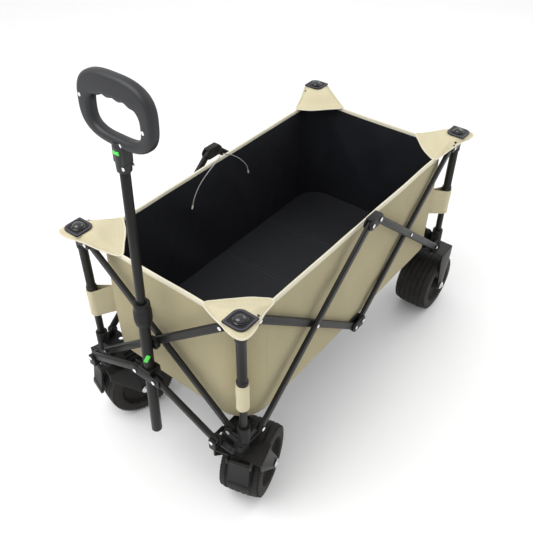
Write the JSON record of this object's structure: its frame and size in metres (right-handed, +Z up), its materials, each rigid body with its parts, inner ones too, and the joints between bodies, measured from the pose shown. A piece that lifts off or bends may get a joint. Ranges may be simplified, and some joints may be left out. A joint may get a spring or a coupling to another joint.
{
  "type": "folding beach cart",
  "caption": "Folding beach cart with a steel scissor frame, a fabric tub, wide wheels, swivelling front casters and a telescopic pull handle.",
  "frame": {"origin": "middle of the cart's footprint box, on the ground", "axes": "+Z up, the pull handle and the casters at -Y, the cart's own left side at +X"},
  "size_m": [0.5716, 1.0614, 1.0399],
  "materials": {
    "black_steel": "satin",
    "black_plastic": "matt",
    "black_rubber": "matt",
    "khaki_canvas": "woven",
    "black_lining": "woven",
    "green_plastic": "matt",
    "string_grey": "matt"
  },
  "bodies": {
    "left_front_outer_bar": {"side_bar_left_1_outer": "black_steel"},
    "left_front_inner_bar": {"side_bar_left_1_inner": "black_steel"},
    "left_rear_outer_bar": {"side_bar_left_2_outer": "black_steel"},
    "left_rear_inner_bar": {"side_bar_left_2_inner": "black_steel"},
    "left_top_hinge": {"middle_hinge_left_top": "black_plastic", "tub_floor_left": "black_lining", "tub_wall_left": "khaki_canvas"},
    "left_bottom_hinge": {"middle_hinge_left_bottom": "black_plastic"},
    "front_left_corner": {"lower_bracket_front_left": "black_plastic", "lower_post_tube_front_left": "black_steel"},
    "front_left_upper_post": {"corner_cap_front_left": "black_plastic", "tub_wall_front": "khaki_canvas", "upper_post_front_left": "black_steel"},
    "rear_left_corner": {"lower_bracket_rear_left": "black_plastic", "lower_post_tube_rear_left": "black_steel", "rear_carrier_left": "black_steel"},
    "rear_left_upper_post": {"corner_cap_rear_left": "black_plastic", "tub_wall_rear": "khaki_canvas", "upper_post_rear_left": "black_steel"},
    "left_caster": {"caster_fork_left": "black_steel"},
    "left_front_wheel": {"front_wheel_left": "black_rubber"},
    "left_brake_pedal": {"brake_pedal_left": "black_plastic"},
    "left_rear_wheel": {"rear_wheel_left": "black_rubber"},
    "left_yoke": {"link_yoke_left": "black_plastic"},
    "left_link": {"v_link_left": "black_steel"},
    "right_front_outer_bar": {"side_bar_right_1_outer": "black_steel"},
    "right_front_inner_bar": {"side_bar_right_1_inner": "black_steel"},
    "right_rear_outer_bar": {"side_bar_right_2_outer": "black_steel"},
    "right_rear_inner_bar": {"side_bar_right_2_inner": "black_steel"},
    "right_top_hinge": {"middle_hinge_right_top": "black_plastic", "tie_string_front": "string_grey", "tie_string_rear": "string_grey", "tub_floor_right": "black_lining", "tub_wall_right": "khaki_canvas"},
    "right_bottom_hinge": {"middle_hinge_right_bottom": "black_plastic"},
    "front_right_corner": {"lower_bracket_front_right": "black_plastic", "lower_post_tube_front_right": "black_steel"},
    "front_right_upper_post": {"corner_cap_front_right": "black_plastic", "upper_post_front_right": "black_steel"},
    "rear_right_corner": {"lower_bracket_rear_right": "black_plastic", "lower_post_tube_rear_right": "black_steel", "rear_carrier_right": "black_steel"},
    "rear_right_upper_post": {"corner_cap_rear_right": "black_plastic", "upper_post_rear_right": "black_steel"},
    "right_caster": {"caster_fork_right": "black_steel"},
    "right_front_wheel": {"front_wheel_right": "black_rubber"},
    "right_brake_pedal": {"brake_pedal_right": "black_plastic"},
    "right_rear_wheel": {"rear_wheel_right": "black_rubber"},
    "right_yoke": {"link_yoke_right": "black_plastic"},
    "right_link": {"v_link_right": "black_steel"},
    "front_outer_bar": {"front_bar_outer": "black_steel"},
    "front_inner_bar": {"front_bar_inner": "black_steel"},
    "rear_outer_bar": {"rear_bar_outer": "black_steel"},
    "rear_inner_bar": {"rear_bar_inner": "black_steel"},
    "handle_mount": {"handle_mount": "black_plastic", "handle_outer_tube": "black_steel"},
    "handle_slide": {"grip": "black_plastic", "handle_inner_tube": "black_steel"},
    "lock_collar": {"lock_collar": "black_plastic"},
    "grip_button": {"grip_button": "green_plastic"}
  },
  "joints": [
    {"name": "fold", "type": "hinge", "parent": "front_left_corner", "child": "left_front_outer_bar", "pos_m": [0.23, -0.4223, 0.256], "axis": [1, 0, 0], "range_deg": [0, 32], "deforming": ["tub_wall_left", "tub_wall_right", "tub_floor_left", "tub_floor_right", "tub_wall_front", "tub_wall_rear"]},
    {"name": "front_inner_bar_pivot", "type": "hinge", "parent": "front_left_corner", "child": "front_inner_bar", "pos_m": [0.197, -0.4623, 0.256], "axis": [0, 1, 0], "range_deg": [0, 32]},
    {"name": "front_crossing", "type": "hinge", "parent": "front_inner_bar", "child": "front_outer_bar", "pos_m": [0, -0.4623, 0.4215], "axis": [0, 1, 0], "range_deg": [-64, 0]},
    {"name": "front_outer_bar_pivot", "type": "hinge", "parent": "front_outer_bar", "child": "front_right_corner", "pos_m": [-0.197, -0.4623, 0.256], "axis": [0, 1, 0], "range_deg": [0, 32]},
    {"name": "right_front_post_pivot", "type": "hinge", "parent": "front_inner_bar", "child": "front_right_upper_post", "pos_m": [-0.197, -0.4623, 0.587], "axis": [0, 1, 0], "range_deg": [-32, 0]},
    {"name": "left_top_hinge_front_pivot", "type": "hinge", "parent": "left_front_outer_bar", "child": "left_top_hinge", "pos_m": [0.23, -0.0283, 0.587], "axis": [1, 0, 0], "range_deg": [-32, 0]},
    {"name": "left_top_hinge_rear_pivot", "type": "hinge", "parent": "left_top_hinge", "child": "left_rear_outer_bar", "pos_m": [0.23, 0.0047, 0.587], "axis": [1, 0, 0], "range_deg": [-32, 0]},
    {"name": "left_rear_outer_pivot", "type": "hinge", "parent": "left_rear_outer_bar", "child": "rear_left_corner", "pos_m": [0.23, 0.3987, 0.256], "axis": [1, 0, 0], "range_deg": [0, 32]},
    {"name": "left_front_crossing", "type": "hinge", "parent": "left_front_outer_bar", "child": "left_front_inner_bar", "pos_m": [0.23, -0.2253, 0.4215], "axis": [1, 0, 0], "range_deg": [-64, 0]},
    {"name": "left_bottom_hinge_pivot", "type": "hinge", "parent": "left_front_inner_bar", "child": "left_bottom_hinge", "pos_m": [0.23, -0.0283, 0.256], "axis": [1, 0, 0], "range_deg": [0, 32]},
    {"name": "left_rear_crossing", "type": "hinge", "parent": "left_rear_outer_bar", "child": "left_rear_inner_bar", "pos_m": [0.23, 0.2017, 0.4215], "axis": [1, 0, 0], "range_deg": [0, 64]},
    {"name": "left_rear_post_pivot", "type": "hinge", "parent": "left_rear_inner_bar", "child": "rear_left_upper_post", "pos_m": [0.23, 0.3987, 0.587], "axis": [1, 0, 0], "range_deg": [-32, 0]},
    {"name": "left_front_post_pivot", "type": "hinge", "parent": "left_front_inner_bar", "child": "front_left_upper_post", "pos_m": [0.23, -0.4223, 0.587], "axis": [1, 0, 0], "range_deg": [0, 32]},
    {"name": "right_front_outer_pivot", "type": "hinge", "parent": "front_right_corner", "child": "right_front_outer_bar", "pos_m": [-0.23, -0.4223, 0.256], "axis": [1, 0, 0], "range_deg": [0, 32]},
    {"name": "right_top_hinge_front_pivot", "type": "hinge", "parent": "right_front_outer_bar", "child": "right_top_hinge", "pos_m": [-0.23, -0.0283, 0.587], "axis": [1, 0, 0], "range_deg": [-32, 0]},
    {"name": "right_top_hinge_rear_pivot", "type": "hinge", "parent": "right_top_hinge", "child": "right_rear_outer_bar", "pos_m": [-0.23, 0.0047, 0.587], "axis": [1, 0, 0], "range_deg": [-32, 0]},
    {"name": "right_rear_outer_pivot", "type": "hinge", "parent": "right_rear_outer_bar", "child": "rear_right_corner", "pos_m": [-0.23, 0.3987, 0.256], "axis": [1, 0, 0], "range_deg": [0, 32]},
    {"name": "right_front_crossing", "type": "hinge", "parent": "right_front_outer_bar", "child": "right_front_inner_bar", "pos_m": [-0.23, -0.2253, 0.4215], "axis": [1, 0, 0], "range_deg": [-64, 0]},
    {"name": "right_bottom_hinge_pivot", "type": "hinge", "parent": "right_front_inner_bar", "child": "right_bottom_hinge", "pos_m": [-0.23, -0.0283, 0.256], "axis": [1, 0, 0], "range_deg": [0, 32]},
    {"name": "right_rear_crossing", "type": "hinge", "parent": "right_rear_outer_bar", "child": "right_rear_inner_bar", "pos_m": [-0.23, 0.2017, 0.4215], "axis": [1, 0, 0], "range_deg": [0, 64]},
    {"name": "right_rear_post_pivot", "type": "hinge", "parent": "right_rear_inner_bar", "child": "rear_right_upper_post", "pos_m": [-0.23, 0.3987, 0.587], "axis": [1, 0, 0], "range_deg": [-32, 0]},
    {"name": "rear_inner_bar_pivot", "type": "hinge", "parent": "rear_left_corner", "child": "rear_inner_bar", "pos_m": [0.197, 0.4387, 0.256], "axis": [0, 1, 0], "range_deg": [0, 32]},
    {"name": "rear_crossing", "type": "hinge", "parent": "rear_inner_bar", "child": "rear_outer_bar", "pos_m": [0, 0.4387, 0.4215], "axis": [0, 1, 0], "range_deg": [-64, 0]},
    {"name": "handle_pitch", "type": "hinge", "parent": "front_left_corner", "child": "left_yoke", "pos_m": [0.195, -0.4988, 0.243], "axis": [1, 0, 0], "range_deg": [0, 80]},
    {"name": "left_link_pivot", "type": "hinge", "parent": "left_yoke", "child": "left_link", "pos_m": [0.195, -0.5178, 0.273], "axis": [0, 1, 0], "range_deg": [0, 50.8]},
    {"name": "left_mount_pivot", "type": "hinge", "parent": "left_link", "child": "handle_mount", "pos_m": [0.029, -0.5178, 0.346], "axis": [0, 1, 0], "range_deg": [-50.8, 0]},
    {"name": "right_mount_pivot", "type": "hinge", "parent": "handle_mount", "child": "right_link", "pos_m": [-0.029, -0.5178, 0.346], "axis": [0, 1, 0], "range_deg": [-50.8, 0]},
    {"name": "right_link_pivot", "type": "hinge", "parent": "right_link", "child": "right_yoke", "pos_m": [-0.195, -0.5178, 0.273], "axis": [0, 1, 0], "range_deg": [0, 50.8]},
    {"name": "handle_extension", "type": "slide", "parent": "handle_mount", "child": "handle_slide", "axis": [0, 0.0332, 0.9995], "range_m": [-0.26, 0]},
    {"name": "collar_twist", "type": "hinge", "parent": "handle_mount", "child": "lock_collar", "pos_m": [0, -0.50413, 0.52979], "axis": [0, 0.0332, 0.9995], "range_deg": [0, 60]},
    {"name": "grip_release", "type": "slide", "parent": "handle_slide", "child": "grip_button", "axis": [0, 1, 0], "range_m": [0, 0.003], "stiffness_N_per_m": 300},
    {"name": "left_caster_swivel", "type": "hinge", "parent": "front_left_corner", "child": "left_caster", "pos_m": [0.222, -0.4623, 0.2], "axis": [0, 0, 1], "continuous": true},
    {"name": "left_front_wheel_spin", "type": "hinge", "parent": "left_caster", "child": "left_front_wheel", "pos_m": [0.20417, -0.40397, 0.092], "axis": [0.9563, 0.2924, 0], "continuous": true},
    {"name": "left_brake", "type": "hinge", "parent": "left_caster", "child": "left_brake_pedal", "pos_m": [0.23651, -0.48923, 0.186], "axis": [0.9563, 0.2924, 0], "range_deg": [0, 4]},
    {"name": "left_rear_wheel_spin", "type": "hinge", "parent": "rear_left_corner", "child": "left_rear_wheel", "pos_m": [0.2145, 0.4387, 0.092], "axis": [1, 0, 0], "continuous": true},
    {"name": "right_caster_swivel", "type": "hinge", "parent": "front_right_corner", "child": "right_caster", "pos_m": [-0.222, -0.4623, 0.2], "axis": [0, 0, 1], "continuous": true},
    {"name": "right_front_wheel_spin", "type": "hinge", "parent": "right_caster", "child": "right_front_wheel", "pos_m": [-0.20417, -0.40397, 0.092], "axis": [0.9563, -0.2924, 0], "continuous": true},
    {"name": "right_brake", "type": "hinge", "parent": "right_caster", "child": "right_brake_pedal", "pos_m": [-0.23651, -0.48923, 0.186], "axis": [0.9563, -0.2924, 0], "range_deg": [0, 4]},
    {"name": "right_rear_wheel_spin", "type": "hinge", "parent": "rear_right_corner", "child": "right_rear_wheel", "pos_m": [-0.2145, 0.4387, 0.092], "axis": [1, 0, 0], "continuous": true}
  ],
  "couplings": [
    {"joint": "front_inner_bar_pivot", "follows": "fold", "ratio": 1},
    {"joint": "front_crossing", "follows": "fold", "ratio": -2},
    {"joint": "front_outer_bar_pivot", "follows": "fold", "ratio": 1},
    {"joint": "right_front_post_pivot", "follows": "fold", "ratio": -1},
    {"joint": "left_top_hinge_front_pivot", "follows": "fold", "ratio": -1},
    {"joint": "left_top_hinge_rear_pivot", "follows": "fold", "ratio": -1},
    {"joint": "left_rear_outer_pivot", "follows": "fold", "ratio": 1},
    {"joint": "left_front_crossing", "follows": "fold", "ratio": -2},
    {"joint": "left_bottom_hinge_pivot", "follows": "fold", "ratio": 1},
    {"joint": "left_rear_crossing", "follows": "fold", "ratio": 2},
    {"joint": "left_rear_post_pivot", "follows": "fold", "ratio": -1},
    {"joint": "left_front_post_pivot", "follows": "fold", "ratio": 1},
    {"joint": "right_front_outer_pivot", "follows": "fold", "ratio": 1},
    {"joint": "right_top_hinge_front_pivot", "follows": "fold", "ratio": -1},
    {"joint": "right_top_hinge_rear_pivot", "follows": "fold", "ratio": -1},
    {"joint": "right_rear_outer_pivot", "follows": "fold", "ratio": 1},
    {"joint": "right_front_crossing", "follows": "fold", "ratio": -2},
    {"joint": "right_bottom_hinge_pivot", "follows": "fold", "ratio": 1},
    {"joint": "right_rear_crossing", "follows": "fold", "ratio": 2},
    {"joint": "right_rear_post_pivot", "follows": "fold", "ratio": -1},
    {"joint": "rear_inner_bar_pivot", "follows": "fold", "ratio": 1},
    {"joint": "rear_crossing", "follows": "fold", "ratio": -2},
    {"joint": "left_link_pivot", "follows": "fold", "ratio": 1.5873},
    {"joint": "left_mount_pivot", "follows": "fold", "ratio": -1.5873},
    {"joint": "right_mount_pivot", "follows": "fold", "ratio": -1.5873},
    {"joint": "right_link_pivot", "follows": "fold", "ratio": 1.5873}
  ]
}
